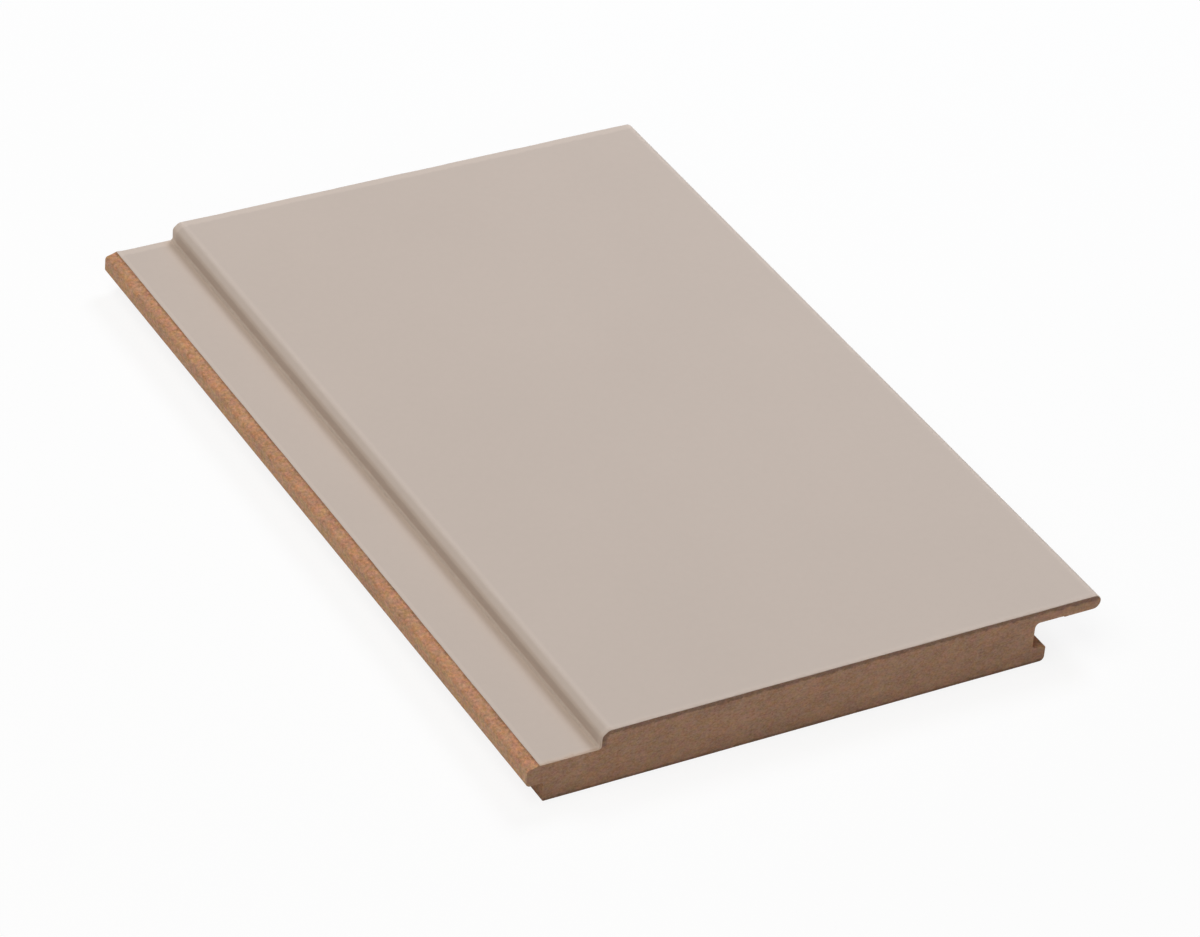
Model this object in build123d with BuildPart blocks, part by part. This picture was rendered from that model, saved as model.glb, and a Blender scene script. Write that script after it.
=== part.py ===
from build123d import *
import os

# A short length of a milled MDF wall panel board, painted on its face. It lies on its back
# with the face up. X runs across the board from the tongue edge to the groove edge, Y runs
# along it, and Z is up. The origin is the centre of the board's outline on the plane of its
# back. All sizes are in millimetres.

# The board and its pitch on a wall
panel_length = 180.0
panel_thickness = 12.0
cover_width = 106.0  # from one board's tongue tip to the next board's, when they are laid

# The ledge beside the step, which the next board's lip covers
ledge_width = 14.7  # from the tongue's tip to the step
step_depth = 3.7  # from the face down to the ledge
step_crown_width = 1.35  # of the soft bevel where the face turns down to the ledge
step_crown_drop = 1.1
step_crown_radius = 1.2  # rounds both edges of that bevel
step_foot_radius = 0.5

# The tongue, with its shallow lead-in bevel
tongue_reach = 3.5  # from the tongue's tip to the base of the board below it
tongue_underside = 4.15  # height above the back
tongue_nose_radius = 0.8
bevel_width = 2.5
bevel_drop = 0.55
base_edge_radius = 0.3

# The lip, which ends in a full round nose over the next board's ledge
face_gap = 0.7  # left open between the lip's nose and the next board's step
ledge_clearance = 0.7  # left open between the lip and the next board's ledge
relief_depth = 0.2  # of the shallow relief in the lip's underside
relief_width = 6.1  # from the groove's wall
relief_run = 0.3  # length of the slope where the relief ends

# The groove, which takes the next board's tongue
tongue_end_clearance = 0.1
tongue_floor_clearance = 0.85
groove_corner_radius = 1.0

# The short lower lip under the groove
back_gap = 0.6  # left open between the lower lip and the next board's base
lower_lip_top_radius = 0.3
lower_lip_bottom_radius = 1.0

# Places across the board, on the X axis
overall_width = cover_width + ledge_width - face_gap
tongue_tip = -overall_width / 2
bevel_end = tongue_tip + bevel_width
base_edge = tongue_tip + tongue_reach
step_wall = tongue_tip + ledge_width
next_tongue_tip = tongue_tip + cover_width
groove_wall = next_tongue_tip - tongue_end_clearance
lower_lip_tip = next_tongue_tip + tongue_reach - back_gap
relief_end = groove_wall + relief_width
lip_tip = overall_width / 2

# Heights above the back
ledge_top = panel_thickness - step_depth
bevel_foot = ledge_top - bevel_drop
groove_floor = tongue_underside - tongue_floor_clearance
lip_underside = ledge_top + ledge_clearance
relief_top = lip_underside + relief_depth

# The nose is a half circle as thick as the lip
nose_radius = (panel_thickness - lip_underside) / 2
nose_centre = lip_tip - nose_radius

# Corners of the section from the face round by the tongue to the lip's underside, each with
# the radius that rounds it. A radius of 0 leaves the corner sharp.
corners = [
    ((step_wall + step_crown_width, panel_thickness), step_crown_radius),
    ((step_wall, panel_thickness - step_crown_drop), step_crown_radius),
    ((step_wall, ledge_top), step_foot_radius),
    ((bevel_end, ledge_top), 0),
    ((tongue_tip, bevel_foot), tongue_nose_radius),
    ((tongue_tip, tongue_underside), tongue_nose_radius),
    ((base_edge, tongue_underside), 0),
    ((base_edge, 0), base_edge_radius),
    ((lower_lip_tip, 0), lower_lip_bottom_radius),
    ((lower_lip_tip, groove_floor), lower_lip_top_radius),
    ((groove_wall, groove_floor), groove_corner_radius),
    ((groove_wall, relief_top), groove_corner_radius),
    ((relief_end, relief_top), 0),
    ((relief_end + relief_run, lip_underside), 0),
]
section_points = [point for point, _ in corners]
section_radii = [radius for _, radius in corners]
face_start = (nose_centre, panel_thickness)
lip_end = (nose_centre, lip_underside)

# The whole board is one milled length of the section
with BuildPart() as wall_panel:
    with BuildSketch(Plane.XZ):
        with BuildLine():
            FilletPolyline(face_start, *section_points, lip_end, radius=section_radii)
            ThreePointArc(lip_end, (lip_tip, panel_thickness - nose_radius), face_start)
        make_face()
    extrude(amount=panel_length / 2, both=True)

wall_panel.part.label = "wall_panel"

os.makedirs("parts", exist_ok=True)
export_step(wall_panel.part, "parts/wall_panel.step")
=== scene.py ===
"""A short length of painted MDF wall panelling, with its studio stage.

The board is one surface: the milled section carried along the board's length, with its arrises eased at
the two sawn ends. Paint covers the face, the rounded step, the ledge and the nose of the lip. Everything
else is bare MDF. The frame is in metres: X across the board, Y along it and Z up, with the board's back at
Z = 0.
"""

import math
from functools import reduce

import bpy
import numpy as np
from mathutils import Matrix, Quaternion, Vector
from mathutils.geometry import delaunay_2d_cdt


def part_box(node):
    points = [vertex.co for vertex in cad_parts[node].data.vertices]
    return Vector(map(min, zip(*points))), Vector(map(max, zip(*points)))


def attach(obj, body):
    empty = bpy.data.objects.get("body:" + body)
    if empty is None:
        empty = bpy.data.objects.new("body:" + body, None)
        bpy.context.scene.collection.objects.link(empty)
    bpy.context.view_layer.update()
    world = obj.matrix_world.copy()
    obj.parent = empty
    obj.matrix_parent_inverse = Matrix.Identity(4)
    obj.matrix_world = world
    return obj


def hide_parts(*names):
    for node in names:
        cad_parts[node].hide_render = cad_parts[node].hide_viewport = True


bl_info = {
    "name": "MDF wall panel board",
    "version": (1, 0, 0),
    "blender": (4, 5, 0),
    "location": "3D View > Sidebar > Wall panel",
    "description": "Models a short length of tongued and grooved MDF panelling and the stage it lies on",
    "category": "Object",
}

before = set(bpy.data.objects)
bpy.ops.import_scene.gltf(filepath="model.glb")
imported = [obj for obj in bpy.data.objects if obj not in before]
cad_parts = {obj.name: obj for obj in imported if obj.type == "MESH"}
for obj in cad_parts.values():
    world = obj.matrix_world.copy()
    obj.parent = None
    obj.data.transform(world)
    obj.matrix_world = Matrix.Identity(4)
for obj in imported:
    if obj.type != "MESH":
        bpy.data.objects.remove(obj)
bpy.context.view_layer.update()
BOARD_LOW, BOARD_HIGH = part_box("wall_panel")
MM = 0.001
NEAR_ZERO = 1e-7  # anything less counts as nothing
WHITE = (1.0, 1.0, 1.0, 1.0)

# Places of the two finishes in the board's list of materials
PAINTED, BARE = 0, 1

# Cells between the shader noise of one seed and the next
SEED_STRIDE = (3.1, 5.3, 1.7)

# Seeds and longest waves of the wavering lines, which are the two arrises and the paint's cut edge
NEAR_SEED, FAR_SEED, FILM_SEED = 1, 2, 3
ARRIS_WAVE, FILM_WAVE = 23 * MM, 17 * MM

# Uneven numbers that scatter where the waves of those lines start
SEED_SCATTER, WAVE_SCATTER, START_SCATTER = 12.9898, 78.233, 437.5

# Width of the camera's sensor in millimetres, and the nearest and farthest that it sees in metres
SENSOR_WIDTH = 36.0
NEAREST, FARTHEST = 0.05, 50.0


class Wire:
    """One output of a node. Arithmetic between wires and numbers adds Math nodes to their tree."""

    def __init__(self, socket):
        self.socket = socket
        self.tree = socket.id_data

    @classmethod
    def node(cls, tree, kind, settings, inputs, output=0):
        """Adds a node, sets its settings, then gives each of its sockets a value or a link from a wire.

        Returns one of its outputs, or nothing for the last node of a tree, which has none.
        """
        made = tree.nodes.new(kind)
        for name, value in settings.items():
            setattr(made, name, value)
        for name, value in inputs.items():
            if isinstance(value, Wire):
                tree.links.new(value.socket, made.inputs[name])
            else:
                made.inputs[name].default_value = value
        return cls(made.outputs[output]) if made.outputs else None

    def math(self, operation, *values):
        return Wire.node(self.tree, "ShaderNodeMath", {"operation": operation}, dict(enumerate(values)))

    def __add__(self, other):
        return self.math("ADD", self, other)

    def __sub__(self, other):
        return self.math("SUBTRACT", self, other)

    def __rsub__(self, other):
        return self.math("SUBTRACT", other, self)

    def __mul__(self, other):
        return self.math("MULTIPLY", self, other)

    def __truediv__(self, other):
        return self.math("DIVIDE", self, other)

    def __rtruediv__(self, other):
        return self.math("DIVIDE", other, self)

    def __abs__(self):
        return self.math("ABSOLUTE", self)

    __radd__ = __add__
    __rmul__ = __mul__

    def at_least(self, other):
        return self.math("MAXIMUM", self, other)

    def at_most(self, other):
        return self.math("MINIMUM", self, other)

    def root(self):
        return self.math("SQRT", self)

    def wave(self):
        return self.math("SINE", self)

    def rise(self, start, end):
        """0 at start, 1 at end and past it, and a smooth curve between them. Start may be above end."""
        settings = {"interpolation_type": "SMOOTHSTEP"}
        return Wire.node(self.tree, "ShaderNodeMapRange", settings, {0: self, 1: start, 2: end})


def blend(low, high, share):
    """The colour low where share is 0, and high where it is 1."""
    return Wire.node(share.tree, "ShaderNodeMix", {"data_type": "RGBA"}, {0: share, 6: low, 7: high}, 2)


def product(colour, other):
    """A colour multiplied by another."""
    return Wire.node(colour.tree, "ShaderNodeVectorMath", {"operation": "MULTIPLY"}, {0: colour, 1: other})


def tinted(colour, tint, share):
    """A colour, multiplied by a tint where share is 1."""
    return product(colour, blend(WHITE, (*tint, 1.0), share))


def shade(colour, factor):
    """A colour made lighter or darker by a factor."""
    inputs = {0: colour, "Scale": factor}
    return Wire.node(factor.tree, "ShaderNodeVectorMath", {"operation": "SCALE"}, inputs)


def noise(place, cells, detail, rough, seed, turn=0.0):
    """Fractal noise around 0.5 at a place in millimetres.

    Cells are how many millimetres one cell measures along each axis, turned about Z. Detail is how many
    finer layers of noise are added, and rough is how strong each is beside the one before. Each seed moves
    the noise along, which gives another pattern.
    """
    scale = [1 / size for size in cells]
    offset = [seed * step for step in SEED_STRIDE]
    point = {"vector_type": "POINT"}
    tilted = Wire.node(place.tree, "ShaderNodeMapping", point, {0: place, "Rotation": (0.0, 0.0, turn)})
    inputs = {0: tilted, "Location": offset, "Scale": scale}
    stretched = Wire.node(place.tree, "ShaderNodeMapping", point, inputs)
    inputs = {"Vector": stretched, "Scale": 1.0, "Detail": detail, "Roughness": rough}
    return Wire.node(place.tree, "ShaderNodeTexNoise", {"noise_dimensions": "3D"}, inputs)


def empty_tree(holder):
    """The node tree of a material or a world, with nothing left in it."""
    holder.use_nodes = True
    holder.node_tree.nodes.clear()
    return holder.node_tree


def start_material(name):
    """A material with an empty tree, the place in the board in millimetres, and its three coordinates."""
    material = bpy.data.materials.new(name)
    tree = empty_tree(material)
    metres = Wire.node(tree, "ShaderNodeTexCoord", {}, {}, "Object")
    inputs = {0: metres, "Scale": [1 / MM] * 3}
    place = Wire.node(tree, "ShaderNodeMapping", {"vector_type": "POINT"}, inputs)
    axes = [Wire.node(tree, "ShaderNodeSeparateXYZ", {}, {0: place}, axis) for axis in "XYZ"]
    return material, place, axes


def bumped(height, depth):
    """The surface's normal, tilted as if height, from 0 to 1, stood depth millimetres tall."""
    inputs = {"Strength": 1.0, "Distance": depth * MM, "Height": height}
    return Wire.node(height.tree, "ShaderNodeBump", {}, inputs)


def finish_material(material, colour, roughness, normal, constants):
    """Joins the varying inputs and the constant ones to one Principled shader and the output."""
    tree = material.node_tree
    inputs = {"Base Color": colour, "Roughness": roughness, "Normal": normal, **constants}
    surface = Wire.node(tree, "ShaderNodeBsdfPrincipled", {}, inputs)
    Wire.node(tree, "ShaderNodeOutputMaterial", {}, {"Surface": surface})
    return material


def painted_mdf(paint, sizes):
    """Satin paint sprayed on MDF. Its distances are in millimetres.

    Its colour drifts by a percent or so from place to place. It has the faint orange peel of a sprayed coat,
    about a millimetre from crest to crest. Where the cutter opened the board, at the step, the ledge and the
    nose, the fibres stand up a little through the paint, so the coat is rougher there. Painted highlights
    make it paler along its edges: the crown's, the nose's, the two ends' and its own cut edge beside the
    bare bevel. Painted shade darkens the cove at the foot of the step, and painted light makes the wall
    paler just above it. Painted warm shade tints the step's wall and the ledge beside it. The coat is
    thinner and warmer at the ledge's near end, and the saw chipped it along the near end.
    """
    material, place, (x, y, z) = start_material("painted_mdf")
    drift = noise(place, cells=(26, 34, 26), detail=2.0, rough=0.5, seed=0)
    stipple = noise(place, cells=(1.5, 1.5, 1.5), detail=2.0, rough=0.55, seed=4)
    peel = noise(place, cells=(1.25, 1.25, 1.25), detail=1.0, rough=0.4, seed=5)
    grain = noise(place, cells=(0.22, 0.22, 0.22), detail=2.0, rough=0.6, seed=6)
    fibres = noise(place, cells=(0.5, 0.16, 0.16), detail=2.0, rough=0.6, seed=7, turn=math.radians(35))

    below_face = sizes.thickness / MM - z
    above_ledge = z - sizes.ledge_top() / MM
    from_wall = x - sizes.step_wall() / MM
    from_crown = from_wall - sizes.step_crown_width / MM
    from_bevel = x - sizes.bevel_end() / MM
    into_nose = x - (sizes.lip_tip() - sizes.nose_radius()) / MM
    from_end = sizes.length / 2 / MM - abs(y) + (stipple - 0.5) * 1.2
    far = y.rise(-1.0, 1.0)
    near = 1.0 - far
    milled = below_face.rise(0.02, 0.5)
    on_ledge = above_ledge.rise(1.7, 0.7)

    # Painted highlights along the edges, wider and stronger at the far end than at the near one
    end_width = 1.5 + far * 0.8
    end_highlight = paint.near_end_highlight + far * (paint.far_end_highlight - paint.near_end_highlight)
    painted_light = from_end.rise(end_width, end_width - 0.8) * end_highlight
    painted_light = painted_light + into_nose.rise(-0.7, 0.3) * paint.nose_highlight
    painted_light = painted_light + from_crown.rise(-0.25, 0.25) * from_crown.rise(1.45, 0.65) * paint.crown_highlight
    painted_light = painted_light + from_bevel.rise(0.1, 0.4) * from_bevel.rise(1.1, 0.7) * paint.cut_edge_highlight

    # Painted light low on the wall, and painted shade in the cove at its foot
    low_wall = from_wall.rise(0.6, 0.3) * above_ledge.rise(1.4, 0.7) * above_ledge.rise(0.1, 0.4)
    cove = from_wall.rise(-0.02, -0.2) * from_wall.rise(-0.65, -0.3) * above_ledge.rise(2.2, 1.2)
    painted_light = painted_light + low_wall * paint.low_wall_light - cove * paint.cove_shade
    tone = 1.0 + (drift - 0.5) * paint.drift + (stipple - 0.5) * paint.stipple + painted_light

    # Painted warm shade on the step's wall and the ledge beside it, a thinner coat at the ledge's near end,
    # and where the saw chipped it, which is less on the face than on the ledge
    warm_shade_and_thin = from_wall.rise(1.0, 0.3) * from_wall.rise(-4.5, -0.8) * below_face.rise(0.3, 1.2)
    warm_shade_and_thin = warm_shade_and_thin.at_least(from_end.rise(1.4, 0.6) * near * on_ledge)
    chipped = from_end.rise(0.65, 0.25) * near * (0.3 + on_ledge * 0.7)
    colour = shade(tuple(paint.colour), tone)
    colour = tinted(tinted(colour, paint.warm_shade_and_thin_tint, warm_shade_and_thin), paint.chipped_tint, chipped)

    peel_height, grain_height, fibre_height = 0.65, 0.12, 0.35
    height = peel * peel_height + grain * grain_height + fibres * milled * fibre_height
    roughness = paint.roughness + (grain - 0.5) * 0.08 + milled * 0.05
    constants = {"Specular IOR Level": 0.22, "IOR": 1.5}
    return finish_material(material, colour, roughness, bumped(height, paint.peel / MM), constants)


def mottled_colour(fibre, place, patches, sawn):
    """Redder and more olive bundles of fibre, warmer and cooler ones among them, fainter on a sawn end."""
    contrast = 1.0 - sawn * fibre.sawn_fade
    redness = noise(place, cells=(1.3, 1.5, 1.0), detail=2.0, rough=0.6, seed=8)
    coolness = noise(place, cells=(1.1, 1.3, 0.7), detail=2.0, rough=0.6, seed=9)
    redness = ((redness - 0.5) * contrast + 0.5).rise(0.36, 0.64)
    coolness = ((coolness - 0.5 - (patches - 0.5) * 0.15) * contrast + 0.5).rise(0.34, 0.66)
    colour = blend((*fibre.olive, 1.0), (*fibre.red, 1.0), redness)
    return product(colour, blend((*fibre.warm_tint, 1.0), (*fibre.cool_tint, 1.0), coolness))


def fibre_dashes(place, directions=4, first_turn=0.2):
    """The lightest and the darkest of the single fibres, which lie in a few directions."""
    turns = [k * math.pi / directions + first_turn for k in range(directions)]
    strands = [
        noise(place, cells=(1.1, 0.14, 0.1), detail=1.0, rough=0.5, seed=seed, turn=turn)
        for seed, turn in enumerate(turns)
    ]
    return reduce(Wire.at_least, strands), reduce(Wire.at_most, strands)


def rim_line(sizes, x, z, ripple):
    """1 in the line under the paint, 0 deeper in the board, and faint below the ledge.

    It follows the depth inside the painted outline: the least of the distances from the face, from the line
    of the crown's bevel, and from the step's wall, or below the ledge from the wall's foot.
    """
    crown_width, crown_drop = sizes.step_crown_width / MM, sizes.step_crown_drop / MM
    from_wall = x - sizes.step_wall() / MM
    from_face = sizes.thickness / MM - z
    below_ledge = sizes.ledge_top() / MM - z
    slope = math.hypot(crown_width, crown_drop)
    from_crown = (from_wall * crown_drop + (from_face - crown_drop) * crown_width) / slope
    past_wall = from_wall.at_least(0.0)
    under_ledge = below_ledge.at_least(0.0)
    from_side = (past_wall * past_wall + under_ledge * under_ledge).root()
    depth = from_face.at_most(from_crown).at_most(from_side) + ripple * 1.1
    faint_below = 1.0 - below_ledge.rise(-0.8, 0.3) * 0.85
    return depth.rise(1.3, 0.75) * faint_below


def saw_arcs(fibre, x, z, ripple):
    """Waves between -1 and 1, in arcs about the saw's centre."""
    across = x - fibre.saw_centre[0] / MM
    up = z - fibre.saw_centre[1] / MM
    reach = (across * across + up * up).root() + ripple * 0.25
    return (reach * (2 * math.pi * MM / fibre.saw_pitch)).wave()


def bare_mdf(fibre, sizes):
    """Bare MDF, cut or milled. Its distances are in millimetres.

    Fine wood fibres lie flat in the board at every angle, so they show as short dashes on a sawn end. Redder
    and more olive bundles mottle it, about a millimetre across, with clouds as wide and patches of up to 8
    mm. It is darker towards its back. A sawn end is darker and fainter in colour than the rest, with the
    saw's arcs across it, a dark line under the paint and a painted contact shadow along its lowest edge. The
    cutter left the bevel redder. A painted shadow of the paint's edge darkens the bevel beside it, and
    painted shade darkens the base's side under the tongue. The milled groove and lower lip are paler, and
    the groove's edge on a sawn end has a painted highlight.
    """
    material, place, (x, y, z) = start_material("bare_mdf")
    patches = noise(place, cells=(7.5, 7.5, 4.0), detail=1.0, rough=0.5, seed=10)
    clouds = noise(place, cells=(1.5, 1.7, 0.9), detail=3.0, rough=0.6, seed=11)
    speckle = noise(place, cells=(0.55, 0.7, 0.4), detail=2.0, rough=0.6, seed=12)
    specks = noise(place, cells=(0.5, 0.5, 0.3), detail=1.0, rough=0.5, seed=13)
    fuzz = noise(place, cells=(0.3, 0.3, 0.12), detail=3.0, rough=0.65, seed=14)
    lightest, darkest = fibre_dashes(place)

    half_length = sizes.length / 2 / MM
    sawn = abs(y).rise(half_length - 0.1, half_length - 0.02)
    milled = 1.0 - sawn
    ripple = clouds - 0.5
    from_face = sizes.thickness / MM - z
    below_ledge = sizes.ledge_top() / MM - z
    from_paint = sizes.bevel_end() / MM - x
    past_groove = x - sizes.groove_wall() / MM
    rim = rim_line(sizes, x, z, ripple) * sawn
    saw_marks = saw_arcs(fibre, x, z, ripple) * patches.rise(0.4, 0.7) * sawn

    # Where the cutter reddened the bevel, and painted shade on the base's side under the tongue
    bevel_drop = sizes.bevel_drop / MM
    bevel = below_ledge.rise(bevel_drop + 0.6, bevel_drop) * below_ledge.rise(-0.3, -0.1)
    bevel = bevel * from_paint.rise(-0.2, 0.0) * milled
    underside = sizes.tongue_underside / MM
    under_tongue_shade = z.rise(underside, underside - 0.6) * (x - sizes.base_edge() / MM).rise(0.5, 0.2) * milled
    colour = mottled_colour(fibre, place, patches, sawn)
    colour = tinted(tinted(colour, fibre.bevel_tint, bevel), fibre.sawn_tint, sawn)
    colour = tinted(tinted(colour, fibre.rim_tint, rim), fibre.under_tongue_shade_tint, under_tongue_shade)

    # Lighter and darker fibres, specks, clouds and patches, and the saw's arcs
    fineness = fibre.speckle - sawn * (fibre.speckle - fibre.sawn_speckle)
    tone = 1.0 + ripple * fibre.clouds + (patches - 0.5) * fibre.patches + (speckle - 0.5) * fineness
    tone = tone + (lightest.rise(0.6, 0.76) - darkest.rise(0.4, 0.26)) * fibre.dashes
    tone = tone - specks.rise(0.68, 0.77) * fibre.specks + saw_marks * fibre.saw_tone

    # A painted highlight along the groove's edge on a sawn end,
    # and paler where the groove and the lower lip were milled
    edge = past_groove.rise(-0.5, -0.15) * z.rise(2.0, 3.2) * from_face.rise(2.0, 3.2) * sawn
    groove = past_groove.rise(-0.3, 0.0) * below_ledge.rise(-sizes.ledge_clearance / MM, 0.0) * milled
    tone = tone + edge * fibre.groove_edge_highlight + groove * fibre.groove_gain

    # A painted shadow of the paint's edge on the bevel, darker towards the back, and a painted contact
    # shadow along a sawn end's lowest edge
    paint_edge_shadow = (from_paint + (speckle - 0.5) * 0.6).rise(0.55, 0.2) * below_ledge.rise(1.0, 0.4) * milled
    back = (z + (patches - 0.5) * 0.8).rise(4.2, 1.2)
    contact_shadow = (z + ripple * 0.9).rise(0.85, 0.3) * sawn
    back_loss = fibre.back_loss + sawn * (fibre.sawn_back_loss - fibre.back_loss)
    tone = tone * (1.0 - paint_edge_shadow * fibre.paint_edge_shadow_loss) * (1.0 - back * back_loss)
    tone = tone * (1.0 - contact_shadow * fibre.contact_shadow_loss)

    # The cutter's ripples run across the board, and turn by so many radians in each millimetre along it
    cutter_pace = 5.0
    cutter = ((y * cutter_pace + ripple * 2.0).wave() * 0.5 + 0.5) * milled
    fuzz_height, fibre_height, cutter_height, saw_height = 0.5, 0.3, 0.06, 0.12
    height = fuzz * fuzz_height + lightest * fibre_height + cutter * cutter_height + saw_marks * saw_height
    roughness = fibre.roughness + (fuzz - 0.5) * 0.1 - back * 0.08
    constants = {"Specular IOR Level": 0.15, "IOR": 1.5}
    normal = bumped(height, fibre.fuzz / MM)
    return finish_material(material, shade(colour, tone), roughness, normal, constants)


def length_property(name, description, default, least=0.0):
    """A property that holds a length in metres."""
    return bpy.props.FloatProperty(
        name=name, description=description, default=default, min=least, unit="LENGTH", subtype="DISTANCE"
    )


def place_property(name, description, default):
    """A property that holds a place in metres, in as many coordinates as its default has."""
    return bpy.props.FloatVectorProperty(
        name=name, description=description, default=default, size=len(default), unit="LENGTH",
        subtype="TRANSLATION",
    )


def angle_property(name, description, degrees):
    """A property that holds an angle, whose default is given in degrees."""
    return bpy.props.FloatProperty(
        name=name, description=description, default=math.radians(degrees), unit="ROTATION", subtype="ANGLE"
    )


def share_property(name, description, default):
    """A property that holds a share, from 0 to 1."""
    return bpy.props.FloatProperty(
        name=name, description=description, default=default, min=0, max=1, subtype="FACTOR"
    )


def strength_property(name, description, default):
    """A property that says how strongly a pattern shows, where 0 hides it."""
    return bpy.props.FloatProperty(name=name, description=description, default=default, min=0)


def colour_property(name, description, default, most=1.0):
    """A property that holds a colour, or a tint that a colour is multiplied by."""
    return bpy.props.FloatVectorProperty(
        name=name, description=description, default=default, min=0, max=most, subtype="COLOR"
    )


class BoardSizes(bpy.types.PropertyGroup):
    """Sizes of the board. Its outer sizes are the frame's."""

    length: length_property(
        "Length", "Length between its sawn ends", BOARD_HIGH.y - BOARD_LOW.y, least=0.01
    )
    width: length_property(
        "Width", "Width from the tongue's tip to the lip's", BOARD_HIGH.x - BOARD_LOW.x, least=0.05
    )
    thickness: length_property("Thickness", "Thickness of the board", BOARD_HIGH.z, least=0.01)
    cover_width: length_property("Cover width", "Width that one board covers on a wall", 106.0 * MM)
    ledge_width: length_property("Ledge width", "Width from the tongue's tip to the step", 14.7 * MM)
    step_depth: length_property("Step depth", "Depth of the ledge below the face", 3.7 * MM)
    step_crown_width: length_property(
        "Step crown width", "Width of the soft bevel at the top of the step", 1.35 * MM
    )
    step_crown_drop: length_property(
        "Step crown drop", "Drop of the soft bevel at the top of the step", 1.1 * MM
    )
    step_crown_radius: length_property("Step crown radius", "Rounding of both edges of that bevel", 1.2 * MM)
    step_foot_radius: length_property("Step foot radius", "Cove where the step meets the ledge", 0.5 * MM)
    tongue_reach: length_property("Tongue reach", "How far the tongue stands out from the base", 3.5 * MM)
    tongue_underside: length_property("Tongue underside", "Height of the tongue's underside", 4.15 * MM)
    tongue_nose_radius: length_property(
        "Tongue nose radius", "Rounding of the tongue's two corners", 0.8 * MM
    )
    bevel_width: length_property("Bevel width", "Width of the bare bevel along the tongue", 2.5 * MM)
    bevel_drop: length_property("Bevel drop", "Drop of the bare bevel over its width", 0.55 * MM)
    base_edge_radius: length_property("Base edge radius", "Rounding of the base under the tongue", 0.3 * MM)
    ledge_clearance: length_property(
        "Ledge clearance", "Gap between the lip and the next board's ledge", 0.7 * MM
    )
    relief_depth: length_property("Relief depth", "Depth of the relief in the lip's underside", 0.2 * MM)
    relief_width: length_property("Relief width", "Width of the relief from the groove's wall", 6.1 * MM)
    relief_run: length_property("Relief run", "Length of the slope where the relief ends", 0.3 * MM)
    tongue_end_clearance: length_property(
        "Tongue end clearance", "Gap between the tongue's tip and the groove's wall", 0.1 * MM
    )
    tongue_floor_clearance: length_property(
        "Tongue floor clearance", "Gap below the tongue in the groove", 0.85 * MM
    )
    groove_corner_radius: length_property(
        "Groove corner radius", "Rounding of the groove's two inner corners", 1.0 * MM
    )
    back_gap: length_property("Back gap", "Gap between the lower lip and the next board's base", 0.6 * MM)
    lower_lip_top_radius: length_property(
        "Lower lip top radius", "Rounding of the lower lip's upper corner", 0.3 * MM
    )
    lower_lip_bottom_radius: length_property(
        "Lower lip bottom radius", "Rounding of the lower lip's back corner", 1.0 * MM
    )
    inner_corner_radius: length_property(
        "Inner corner radius", "What the cutter leaves in its sharpest corners", 0.06 * MM
    )
    film: length_property("Paint film", "Thickness of the paint, as its edge shows it", 0.07 * MM)
    film_ripple: length_property(
        "Film ripple", "How far the paint's cut edge wanders along the bevel", 0.03 * MM
    )
    near_arris: length_property("Near arris", "Easing of the edges at the near sawn end", 0.08 * MM)
    far_arris: length_property("Far arris", "Easing of the edges at the far sawn end", 0.32 * MM)

    def tongue_tip(self):
        return -self.width / 2

    def bevel_end(self):
        return self.tongue_tip() + self.bevel_width

    def base_edge(self):
        return self.tongue_tip() + self.tongue_reach

    def step_wall(self):
        return self.tongue_tip() + self.ledge_width

    def next_tongue_tip(self):
        return self.tongue_tip() + self.cover_width

    def groove_wall(self):
        return self.next_tongue_tip() - self.tongue_end_clearance

    def lower_lip_tip(self):
        return self.next_tongue_tip() + self.tongue_reach - self.back_gap

    def relief_end(self):
        return self.groove_wall() + self.relief_width

    def lip_tip(self):
        return self.width / 2

    def ledge_top(self):
        return self.thickness - self.step_depth

    def groove_floor(self):
        return self.tongue_underside - self.tongue_floor_clearance

    def lip_underside(self):
        return self.ledge_top() + self.ledge_clearance

    def nose_radius(self):
        return (self.thickness - self.lip_underside()) / 2


class PaintFinish(bpy.types.PropertyGroup):
    """The paint on the face. Gains and losses are shares of its colour's lightness."""

    colour: colour_property("Colour", "Colour of the paint", (0.566, 0.479, 0.421))
    # Painted warm shade on the step's wall and the ledge beside it, and a thinner coat at the ledge's near
    # end
    warm_shade_and_thin_tint: colour_property(
        "Thin tint", "What the colour is multiplied by where the coat is thin", (0.99, 0.965, 0.935)
    )
    chipped_tint: colour_property(
        "Chipped tint", "What the colour is multiplied by where the saw chipped it", (0.91, 0.83, 0.76)
    )
    drift: strength_property("Drift", "How far the colour drifts from place to place", 0.05)
    stipple: strength_property("Stipple", "How strongly the spray's dots show", 0.03)
    # Painted highlights along the ends' edges, the nose, the crown's edge and the paint's cut edge
    near_end_highlight: share_property("Near end gain", "How much paler the near end's edge is", 0.045)
    far_end_highlight: share_property("Far end gain", "How much paler the far end's edge is", 0.105)
    nose_highlight: share_property("Nose gain", "How much paler the lip's nose is", 0.12)
    crown_highlight: share_property("Crown gain", "How much paler the edge of the step's crown is", 0.045)
    cut_edge_highlight: share_property("Cut edge gain", "How much paler the edge beside the bevel is", 0.045)
    # Painted light low on the step's wall, and painted shade in the cove at its foot
    low_wall_light: share_property("Low wall gain", "How much paler the foot of the step's wall is", 0.07)
    cove_shade: share_property("Cove loss", "How much darker the cove under the step is", 0.13)
    roughness: share_property("Roughness", "From gloss at 0 to dead matt at 1", 0.58)
    peel: length_property("Orange peel", "Height of the faint ripples that spraying leaves", 0.008 * MM)


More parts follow.
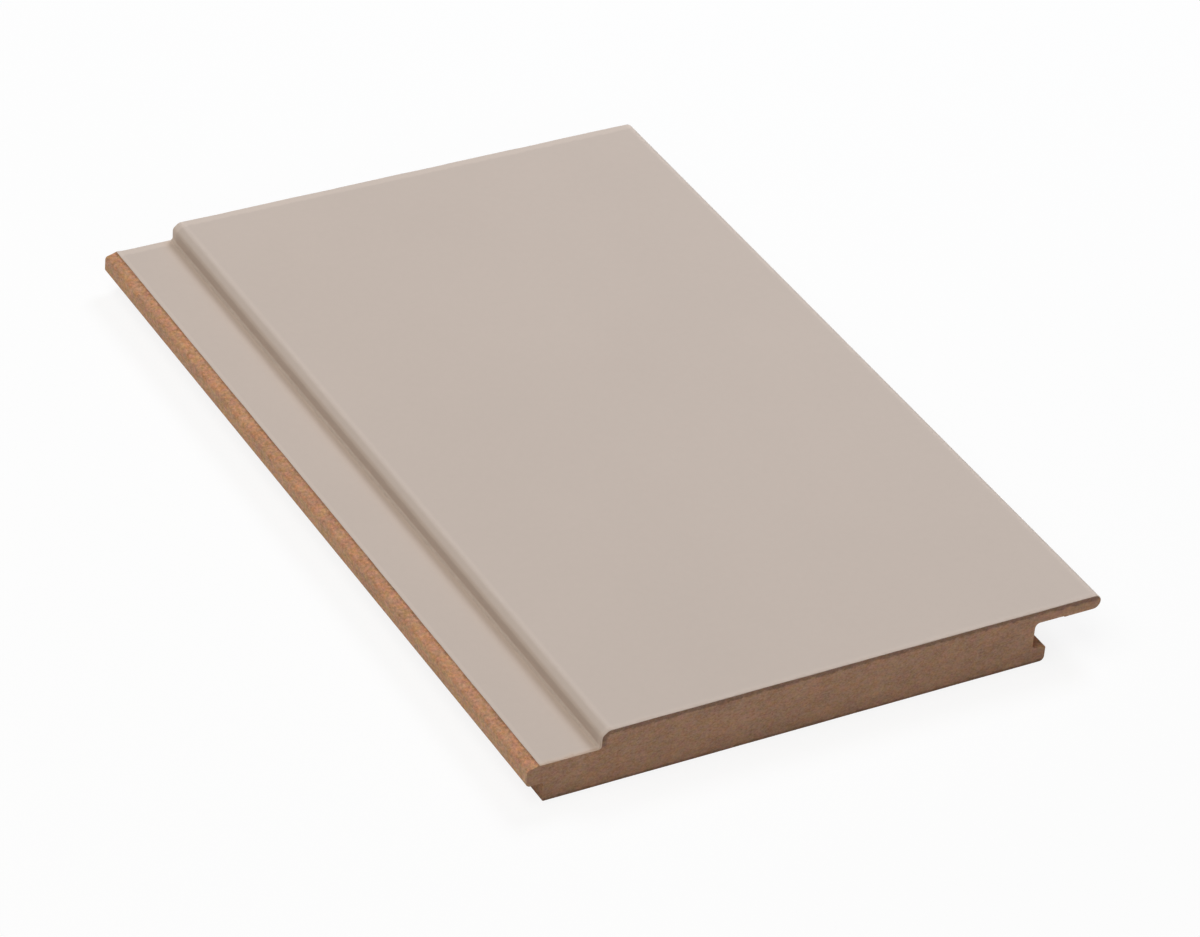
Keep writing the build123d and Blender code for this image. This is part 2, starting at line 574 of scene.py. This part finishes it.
class FibreFinish(bpy.types.PropertyGroup):
    """The bare MDF. Gains and losses are shares of its colour's lightness."""

    red: colour_property("Redder fibre", "Colour of the redder bundles of fibre", (0.525, 0.282, 0.172))
    olive: colour_property("Olive fibre", "Colour of the more olive bundles", (0.483, 0.308, 0.183))
    warm_tint: colour_property("Warm tint", "What the warmest places are multiplied by", (1.0, 1.0, 0.86))
    cool_tint: colour_property(
        "Cool tint", "What the coolest places are multiplied by", (1.0, 1.0, 1.14), most=2.0
    )
    bevel_tint: colour_property("Bevel tint", "What the bare bevel is multiplied by", (1.0, 0.894, 0.84))
    sawn_tint: colour_property("Sawn tint", "What the sawn ends are multiplied by", (0.745, 0.744, 0.785))
    rim_tint: colour_property(
        "Rim tint", "What the dark line under the paint is multiplied by", (0.64, 0.65, 0.70)
    )
    # Painted shade on the base's side under the tongue
    under_tongue_shade_tint: colour_property(
        "Scorched tint", "What the cutter's scorched places are multiplied by", (0.70, 0.66, 0.66)
    )
    sawn_fade: share_property("Sawn fade", "How much fainter a sawn end's mottled colours are", 0.35)
    patches: strength_property("Patches", "How strongly patches of up to 8 mm show", 0.35)
    clouds: strength_property("Clouds", "How strongly clouds of a millimetre or two show", 0.55)
    speckle: strength_property("Speckle", "How strongly the finest mottling shows where it is milled", 1.05)
    sawn_speckle: strength_property("Sawn speckle", "How strongly it shows on a sawn end", 0.85)
    dashes: strength_property("Dashes", "How strongly the lightest and darkest fibres show", 0.14)
    specks: strength_property("Specks", "How strongly the scattered dark specks show", 0.18)
    saw_tone: strength_property("Saw tone", "How strongly the saw's arcs show", 0.02)
    # A painted highlight along the groove's edge on a sawn end
    groove_edge_highlight: share_property(
        "Groove edge gain", "How much paler the groove's edge is on a sawn end", 0.14
    )
    groove_gain: share_property("Groove gain", "How much paler the groove and the lower lip are", 0.12)
    # A painted shadow of the paint's edge on the bevel
    paint_edge_shadow_loss: share_property("Rubbed loss", "How much darker the bevel is beside the paint", 0.3)
    back_loss: share_property("Back loss", "How much darker the board is at its back", 0.02)
    sawn_back_loss: share_property("Sawn back loss", "How much darker a sawn end is at the back", 0.07)
    # A painted contact shadow along a sawn end's lowest edge
    contact_shadow_loss: share_property("Back edge loss", "How much darker a sawn end's lowest edge is", 0.35)
    saw_centre: place_property(
        "Saw centre", "Centre of the saw's arcs on the ends, across and up", (108.0 * MM, -62.0 * MM)
    )
    saw_pitch: length_property(
        "Saw pitch", "From one of the saw's arcs to the next", 0.7 * MM, least=0.1 * MM
    )
    roughness: share_property("Roughness", "From gloss at 0 to dead matt at 1", 0.88)
    fuzz: length_property("Fuzz", "Height of the fibres that stand up from a cut face", 0.03 * MM)


class StageSettings(bpy.types.PropertyGroup):
    """The camera, the light and the floor. A lamp's share is its part of the light on the board's face."""

    azimuth: angle_property("Azimuth", "Turn of the camera about the board", -31.55)
    elevation: angle_property("Elevation", "Height of the camera above the horizon", 34.7)
    roll: angle_property("Roll", "Tilt of the camera about its own axis", 5.14)
    distance: length_property("Distance", "From the camera to the point it looks at", 0.9927, least=0.1)
    look_at: place_property("Look at", "The point that the camera looks at", (-0.00227, -0.01111, 0.006))
    lens: bpy.props.FloatProperty(
        name="Lens", description="Focal length in millimetres on a sensor 36 mm wide", default=156.18, min=1
    )
    key_share: share_property("Key share", "Share of the lamp behind the board and to its right", 0.33)
    key_place: place_property("Key place", "Centre of that lamp", (0.50, 0.46, 0.76))
    key_colour: colour_property(
        "Key colour", "Colour of that lamp, a little cool", (0.95, 1.0, 1.08), most=2.0
    )
    key_width: length_property("Key width", "Width of that lamp, which is round", 0.4, least=0.05)
    top_share: share_property("Top share", "Share of the broad lamp overhead, a little to the left", 0.56)
    top_place: place_property("Top place", "Centre of that lamp", (-0.47, -0.05, 1.05))
    top_colour: colour_property(
        "Top colour", "Colour of that lamp, a little warm", (1.03, 1.0, 0.945), most=2.0
    )
    top_width: length_property("Top width", "Width of that lamp, which is round", 1.15, least=0.05)
    front_share: share_property("Front share", "Share of the low lamp in front of the board", 0.06)
    front_place: place_property("Front place", "Centre of that lamp", (-0.55, -2.0, 0.9))
    front_colour: colour_property("Front colour", "Colour of that lamp", (1.0, 1.0, 1.0), most=2.0)
    front_width: length_property("Front width", "Width of that lamp, which is round", 1.4, least=0.05)
    floor_bounce: share_property("Floor bounce", "Share of light that the floor sends up to the board", 1.0)
    shadow: share_property("Shadow", "How strongly the board's shadow shows on the white floor", 0.14)
    floor_size: length_property("Floor size", "Side of the square floor", 8.0, least=0.5)
    floor_gap: length_property("Floor gap", "From the floor up to the board's back", 0.02 * MM)


def section_corners(sizes, nose_bare=0.42):
    """Corners of the section, from the nose's top round by the step, the tongue and the lip's underside.

    Each row is X, Z, the rounding radius, the share of the rounding that is bare before the paint starts,
    and whether the flat that follows is painted. The paint's cut edge beside the bevel is a step as high as
    the film, rounded at its top and nearly sharp at its foot.
    """
    face = sizes.thickness
    ledge = sizes.ledge_top()
    sharp = sizes.inner_corner_radius
    film_top, film_foot = sizes.film * 0.6, sizes.film * 0.2
    relief = sizes.lip_underside() + sizes.relief_depth
    nose = sizes.nose_radius()
    return np.array([
        (sizes.lip_tip(), face, nose, 0, True),
        (sizes.step_wall() + sizes.step_crown_width, face, sizes.step_crown_radius, 0, True),
        (sizes.step_wall(), face - sizes.step_crown_drop, sizes.step_crown_radius, 0, True),
        (sizes.step_wall(), ledge, sizes.step_foot_radius, 0, True),
        (sizes.bevel_end(), ledge, film_top, 0, True),
        (sizes.bevel_end(), ledge - sizes.film, film_foot, 1, False),
        (sizes.tongue_tip(), ledge - sizes.bevel_drop, sizes.tongue_nose_radius, 1, False),
        (sizes.tongue_tip(), sizes.tongue_underside, sizes.tongue_nose_radius, 1, False),
        (sizes.base_edge(), sizes.tongue_underside, sharp, 1, False),
        (sizes.base_edge(), 0.0, sizes.base_edge_radius, 1, False),
        (sizes.lower_lip_tip(), 0.0, sizes.lower_lip_bottom_radius, 1, False),
        (sizes.lower_lip_tip(), sizes.groove_floor(), sizes.lower_lip_top_radius, 1, False),
        (sizes.groove_wall(), sizes.groove_floor(), sizes.groove_corner_radius, 1, False),
        (sizes.groove_wall(), relief, sizes.groove_corner_radius, 1, False),
        (sizes.relief_end(), relief, sharp, 1, False),
        (sizes.relief_end() + sizes.relief_run, sizes.lip_underside(), sharp, 1, False),
        (sizes.lip_tip(), sizes.lip_underside(), nose, nose_bare, True),
    ])


def section_outline(corners, arc_steps=12, longest_step=1.2 * MM):
    """Points of the section, the outward normals there, and which steps from each to the next are painted.

    A corner turns the heading by an angle t. Its rounding of radius r starts r tan(t / 2) before the corner
    and turns the heading evenly, about a centre r to the inner side. The flats are cut into even steps.
    """
    places, radii = corners[:, :2], corners[:, 2]
    bare_share, flat_painted = corners[:, 3], corners[:, 4] > 0
    along = np.roll(places, -1, axis=0) - places
    heading_out = np.arctan2(along[:, 1], along[:, 0])
    heading_in = np.roll(heading_out, 1)
    turn = (heading_out - heading_in + np.pi) % (2 * np.pi) - np.pi
    setback = radii * np.tan(np.abs(turn) / 2)
    unit_in = np.stack([np.cos(heading_in), np.sin(heading_in)], axis=1)
    left_in = np.stack([-unit_in[:, 1], unit_in[:, 0]], axis=1)
    inner = (radii * np.sign(turn))[:, None]
    centres = places - unit_in * setback[:, None] + left_in * inner

    share = np.linspace(0, 1, arc_steps + 1)
    headings = heading_in[:, None] + turn[:, None] * share
    normals = np.stack([np.sin(headings), -np.cos(headings)], axis=2)
    arcs = centres[:, None] + normals * inner[:, None]
    arc_painted = share[None, 1:] > bare_share[:, None] + NEAR_ZERO

    points, outward, painted = [], [], []
    for k in range(len(corners)):
        start, end = arcs[k, -1], arcs[(k + 1) % len(corners), 0]
        gap = np.linalg.norm(end - start)
        steps = int(np.ceil(gap / longest_step)) if gap > NEAR_ZERO else 0
        inner_share = np.linspace(0, 1, steps + 1)[1:-1, None]
        kept = slice(None) if steps else slice(None, -1)
        points += [arcs[k][kept], start + (end - start) * inner_share]
        outward += [normals[k][kept], np.repeat(normals[k, -1:], len(inner_share), axis=0)]
        painted += [arc_painted[k], np.repeat(flat_painted[k], steps)]
    return np.concatenate(points), np.concatenate(outward), np.concatenate(painted)


def wander(place, longest, seed, count=4, shortening=1.9, falling=0.5):
    """A smooth wavering line between -1 and 1: a few sine waves, each shorter and lower than the last."""
    waves = np.arange(count)
    start = np.sin(seed * SEED_SCATTER + waves * WAVE_SCATTER) * START_SCATTER
    pace = 2 * np.pi / (longest / shortening**waves)
    height = falling**waves
    return (np.sin(np.asarray(place)[..., None] * pace + start) * height).sum(-1) / height.sum()


def arris_easing(points, corners, radius, seed, spread=0.35, of_corner=0.4, of_distance=0.25):
    """How much the arris is eased at each point of the outline.

    It is the radius, give or take its spread as it wanders. Near a tight corner it is at most a share of the
    corner's radius and a share of the distance from it, so that the easing never folds over itself.
    """
    travel = np.concatenate([[0], np.cumsum(np.linalg.norm(np.diff(points, axis=0), axis=1))])
    easing = radius * (1 + spread * wander(travel, ARRIS_WAVE, seed))
    distance = np.linalg.norm(points[:, None] - corners[None, :, :2], axis=2)
    allowed = (of_corner * corners[:, 2] + of_distance * distance).min(axis=1)
    return np.minimum(easing, allowed)


def board_surface(sizes, arris_steps=6, row_step=2.0 * MM, end_stretch=1.5 * MM, film_of_easing=0.4):
    """Vertices, normals, quads and painted flags of the swept surface, and the outline's point count.

    A row of the grid is the section's outline at one place along the board. Towards an end, at an angle a
    from 0 to 90 degrees, the row stands e (1 - sin a) short of the sawn face and is drawn in by
    e (1 - cos a), for an arris eased by e. One more row lies on the sawn face, drawn in past the paint
    film's cut edge by the film's thickness, or by a share of the easing where that is less.
    """
    corners = section_corners(sizes)
    points, outward, painted = section_outline(corners)
    half = sizes.length / 2
    angles = np.linspace(0, np.pi / 2, arris_steps + 1)
    steady = half - end_stretch
    middle = np.linspace(-steady, steady, int(2 * steady / row_step) + 1)

    def end_rows(easing, side):
        """Places along Y, insets and tilts of the rows at one end, from the board's side to its end."""
        places = side * (half - easing * (1 - np.sin(angles))[:, None])
        insets = easing * (1 - np.cos(angles))[:, None]
        tilts = np.repeat(angles[:, None], len(points), axis=1)
        film_edge = insets[-1:] + np.minimum(sizes.film, easing * film_of_easing)
        places = np.concatenate([places, places[-1:]])
        return places, np.concatenate([insets, film_edge]), side * np.concatenate([tilts, tilts[-1:]])

    near = end_rows(arris_easing(points, corners, sizes.near_arris, NEAR_SEED), -1)
    far = end_rows(arris_easing(points, corners, sizes.far_arris, FAR_SEED), 1)
    level = np.zeros((len(middle), len(points)))
    along = np.concatenate([near[0][::-1], middle[:, None] + level, far[0]])
    inset = np.concatenate([near[1][::-1], level, far[1]])
    tilt = np.concatenate([near[2][::-1], level, far[2]])

    # The paint's cut edge beside the bevel wanders a little along the board
    film_corner = np.array([sizes.bevel_end(), sizes.ledge_top()])
    near_film = np.linalg.norm(points - film_corner, axis=1) < 2 * sizes.film
    ripple = sizes.film_ripple * wander(along, FILM_WAVE, FILM_SEED) * near_film
    x = points[:, 0] - inset * outward[:, 0] + ripple
    z = points[:, 1] - inset * outward[:, 1]
    vertices = np.stack([x, along, z], axis=2)
    normals = [outward[:, 0] * np.cos(tilt), np.sin(tilt), outward[:, 1] * np.cos(tilt)]
    normals = np.stack(normals, axis=2)

    # Quads between neighbouring rows and points, wound so that they face outwards
    rows, count = along.shape
    row = np.arange(rows - 1)[:, None] * count
    here = np.arange(count)[None]
    after = (here + 1) % count
    quads = np.stack([row + here, row + count + here, row + count + after, row + after], axis=2)
    on_film = np.repeat(painted[None], rows - 1, axis=0)
    return vertices.reshape(-1, 3), normals.reshape(-1, 3), quads.reshape(-1, 4), on_film.ravel(), count


def sawn_face(ring, spacing=1.5 * MM, clearance=0.45, tolerance=1e-6):
    """Fills a sawn end: a lattice of points inside its outline, joined to it by Delaunay triangles.

    No point of the lattice lies nearer to the outline than clearance times the spacing. Takes the outline in
    X and Z. Returns the points that it adds and the triangles, which count the outline's points first and
    turn anticlockwise as X turns to Z.
    """
    low, high = ring.min(axis=0), ring.max(axis=0)
    columns, rows = np.arange(low[0], high[0], spacing), np.arange(low[1], high[1], spacing)
    lattice = np.stack(np.meshgrid(columns, rows), axis=2).reshape(-1, 2)

    # A point is inside if a line from it crosses the outline an odd number of times
    start, end = ring[None], np.roll(ring, -1, axis=0)[None]
    spot = lattice[:, None]
    spans = (start[..., 1] > spot[..., 1]) != (end[..., 1] > spot[..., 1])
    rise = np.where(spans, end[..., 1] - start[..., 1], 1.0)
    crossing = start[..., 0] + (spot[..., 1] - start[..., 1]) / rise * (end[..., 0] - start[..., 0])
    inside = (spans & (spot[..., 0] < crossing)).sum(axis=1) % 2 == 1
    clear = np.linalg.norm(spot - ring[None], axis=2).min(axis=1) > spacing * clearance
    added = lattice[inside & clear]

    outline = [list(range(len(ring)))]
    in_mm = (np.concatenate([ring, added]) / MM).tolist()
    made = delaunay_2d_cdt([Vector(point) for point in in_mm], [], outline, 1, tolerance)
    sources, triangles = made[3], np.array(made[2])
    if not all(sources):
        raise RuntimeError("the outline of the sawn face crosses itself")
    from_input = np.array([found[0] for found in sources])
    return added, from_input[triangles]


def add_object(name, data):
    """A new object in the scene, which shows a mesh, a lamp or a camera."""
    added = bpy.data.objects.new(name, data)
    bpy.context.scene.collection.objects.link(added)
    return added


def build_board(sizes, paint, fibre):
    """The whole board as one closed mesh: its swept surface and its two sawn faces."""
    vertices, normals, quads, painted, count = board_surface(sizes)
    faces, parts, part_normals, total = [], [vertices], [normals], len(vertices)
    for first, side in ((0, -1), (len(vertices) - count, 1)):
        ring = vertices[first:first + count]
        added, triangles = sawn_face(ring[:, [0, 2]])
        renumbered = np.concatenate([np.arange(count) + first, np.arange(len(added)) + total])[triangles]
        faces.append(renumbered if side < 0 else renumbered[:, ::-1])
        parts.append(np.stack([added[:, 0], np.full(len(added), ring[0, 1]), added[:, 1]], axis=1))
        part_normals.append(np.repeat([[0.0, side, 0.0]], len(added), axis=0))
        total += len(added)
    triangles = np.concatenate(faces)

    mesh = bpy.data.meshes.new("wall_panel_board")
    mesh.vertices.add(total)
    mesh.vertices.foreach_set("co", np.concatenate(parts).astype(np.float32).ravel())
    corner_list = np.concatenate([quads.ravel(), triangles.ravel()])
    mesh.loops.add(len(corner_list))
    mesh.loops.foreach_set("vertex_index", corner_list.astype(np.int32))
    starts = np.concatenate([np.arange(len(quads)) * 4, quads.size + np.arange(len(triangles)) * 3])
    mesh.polygons.add(len(starts))
    mesh.polygons.foreach_set("loop_start", starts.astype(np.int32))
    finish = np.concatenate([np.where(painted, PAINTED, BARE), np.full(len(triangles), BARE)])
    mesh.polygons.foreach_set("material_index", finish.astype(np.int32))
    mesh.polygons.foreach_set("use_smooth", np.ones(len(starts), bool))
    mesh.update(calc_edges=True)
    if mesh.validate(verbose=True):
        raise RuntimeError("the board's mesh has faulty faces")
    mesh.normals_split_custom_set_from_vertices(np.concatenate(part_normals).tolist())
    mesh.materials.append(painted_mdf(paint, sizes))
    mesh.materials.append(bare_mdf(fibre, sizes))
    return add_object("wall_panel_board", mesh)


def background_share(tree):
    """1 for rays that show the background, straight or reflected, and 0 for those that light the board."""
    camera, glossy, transmission = [
        Wire.node(tree, "ShaderNodeLightPath", {}, {}, kind)
        for kind in ("Is Camera Ray", "Is Glossy Ray", "Is Transmission Ray")
    ]
    return camera.at_least(glossy).at_least(transmission)


def hang_lamp(name, place, width, share, colour):
    """A round soft lamp that shines on the board's face.

    At a distance d, with the lamp's light meeting the face at an angle a from its upright, a power of share
    pi pi d d / cos a gives the face that share of the light in which a colour renders as it is written.
    """
    lamp = bpy.data.lights.new(name, "AREA")
    lamp.shape = "DISK"
    lamp.size = width
    lamp.color = colour
    away = Vector(place)
    lamp.energy = share * math.pi**2 * away.length**3 / away.z
    hung = add_object(name, lamp)
    hung.location = away
    hung.rotation_euler = away.to_track_quat("Z", "Y").to_euler()
    hung.visible_camera = False


def light_stage(stage):
    """The white room, and the three soft lamps."""
    world = bpy.data.worlds.new("studio")
    bpy.context.scene.world = world
    tree = empty_tree(world)
    fill = 1.0 - stage.key_share - stage.top_share - stage.front_share
    strength = background_share(tree) * (1.0 - fill) + fill
    room = Wire.node(tree, "ShaderNodeBackground", {}, {"Color": WHITE, "Strength": strength})
    Wire.node(tree, "ShaderNodeOutputWorld", {}, {"Surface": room})
    hang_lamp("key", stage.key_place, stage.key_width, stage.key_share, stage.key_colour)
    hang_lamp("top", stage.top_place, stage.top_width, stage.top_share, stage.top_colour)
    hang_lamp("front", stage.front_place, stage.front_width, stage.front_share, stage.front_colour)


def lay_floor(stage):
    """A plain white floor just under the board, which keeps its shadow."""
    half = stage.floor_size / 2
    corners = np.array([(-half, -half, 0.0), (half, -half, 0.0), (half, half, 0.0), (-half, half, 0.0)])
    corners[:, 2] = -stage.floor_gap
    mesh = bpy.data.meshes.new("floor")
    mesh.from_pydata(corners.tolist(), [], [(0, 1, 2, 3)])
    floor = add_object("floor", mesh)

    material = bpy.data.materials.new("floor")
    tree = empty_tree(material)
    bounce = (*[stage.floor_bounce] * 3, 1.0)
    glow = Wire.node(tree, "ShaderNodeEmission", {}, {"Color": WHITE, "Strength": 1.0})
    matt = Wire.node(tree, "ShaderNodeBsdfDiffuse", {}, {"Color": WHITE})
    dull = Wire.node(tree, "ShaderNodeBsdfDiffuse", {}, {"Color": bounce})
    seen = Wire.node(tree, "ShaderNodeMixShader", {}, {0: stage.shadow, 1: glow, 2: matt})
    surface = Wire.node(tree, "ShaderNodeMixShader", {}, {0: background_share(tree), 1: dull, 2: seen})
    Wire.node(tree, "ShaderNodeOutputMaterial", {}, {"Surface": surface})
    mesh.materials.append(material)


def place_camera(stage):
    """Stands the camera off the point it looks at, along its azimuth and elevation, and rolls it."""
    data = bpy.data.cameras.new("camera")
    data.lens = stage.lens
    data.sensor_width = SENSOR_WIDTH
    data.clip_start, data.clip_end = NEAREST, FARTHEST
    camera = add_object("camera", data)
    level = math.cos(stage.elevation)
    across, behind = math.sin(stage.azimuth) * level, -math.cos(stage.azimuth) * level
    back = Vector((across, behind, math.sin(stage.elevation)))
    camera.location = Vector(stage.look_at) + back * stage.distance
    camera.rotation_mode = "QUATERNION"
    camera.rotation_quaternion = Quaternion(back, stage.roll) @ (-back).to_track_quat("-Z", "Y")
    bpy.context.scene.camera = camera


class WALLPANEL_OT_make_board(bpy.types.Operator):
    """Models the board with its paint and its bare milled edges"""

    bl_idname = "wallpanel.make_board"
    bl_label = "Make the board"

    def execute(self, context):
        scene = context.scene
        board = build_board(scene.wallpanel_sizes, scene.wallpanel_paint, scene.wallpanel_fibre)
        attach(board, "root")
        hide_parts("wall_panel")
        return {"FINISHED"}


class WALLPANEL_OT_set_stage(bpy.types.Operator):
    """Lays the floor, lights it and places the camera"""

    bl_idname = "wallpanel.set_stage"
    bl_label = "Set the stage"

    def execute(self, context):
        stage = context.scene.wallpanel_stage
        context.scene.view_settings.view_transform = "Standard"
        light_stage(stage)
        lay_floor(stage)
        place_camera(stage)
        return {"FINISHED"}


class WALLPANEL_PT_sidebar(bpy.types.Panel):
    """Sizes and finishes of the board, and the stage"""

    bl_idname = "WALLPANEL_PT_sidebar"
    bl_label = "Wall panel board"
    bl_space_type = "VIEW_3D"
    bl_region_type = "UI"
    bl_category = "Wall panel"

    def draw(self, context):
        scene = context.scene
        groups = (
            ("Sizes", scene.wallpanel_sizes),
            ("Paint", scene.wallpanel_paint),
            ("Bare MDF", scene.wallpanel_fibre),
            ("Stage", scene.wallpanel_stage),
        )
        for title, group in groups:
            box = self.layout.box()
            box.label(text=title)
            for name in group.__annotations__:
                box.prop(group, name)
        self.layout.operator(WALLPANEL_OT_make_board.bl_idname)
        self.layout.operator(WALLPANEL_OT_set_stage.bl_idname)


CLASSES = (
    BoardSizes,
    PaintFinish,
    FibreFinish,
    StageSettings,
    WALLPANEL_OT_make_board,
    WALLPANEL_OT_set_stage,
    WALLPANEL_PT_sidebar,
)
SETTINGS = {
    "wallpanel_sizes": BoardSizes,
    "wallpanel_paint": PaintFinish,
    "wallpanel_fibre": FibreFinish,
    "wallpanel_stage": StageSettings,
}


def register():
    for cls in CLASSES:
        bpy.utils.register_class(cls)
    for name, group in SETTINGS.items():
        setattr(bpy.types.Scene, name, bpy.props.PointerProperty(type=group))


def unregister():
    for name in SETTINGS:
        delattr(bpy.types.Scene, name)
    for cls in reversed(CLASSES):
        bpy.utils.unregister_class(cls)


def main():
    """Sets the stage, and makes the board."""
    register()
    bpy.ops.wallpanel.set_stage()
    bpy.ops.wallpanel.make_board()


if __name__ == "__main__":
    main()
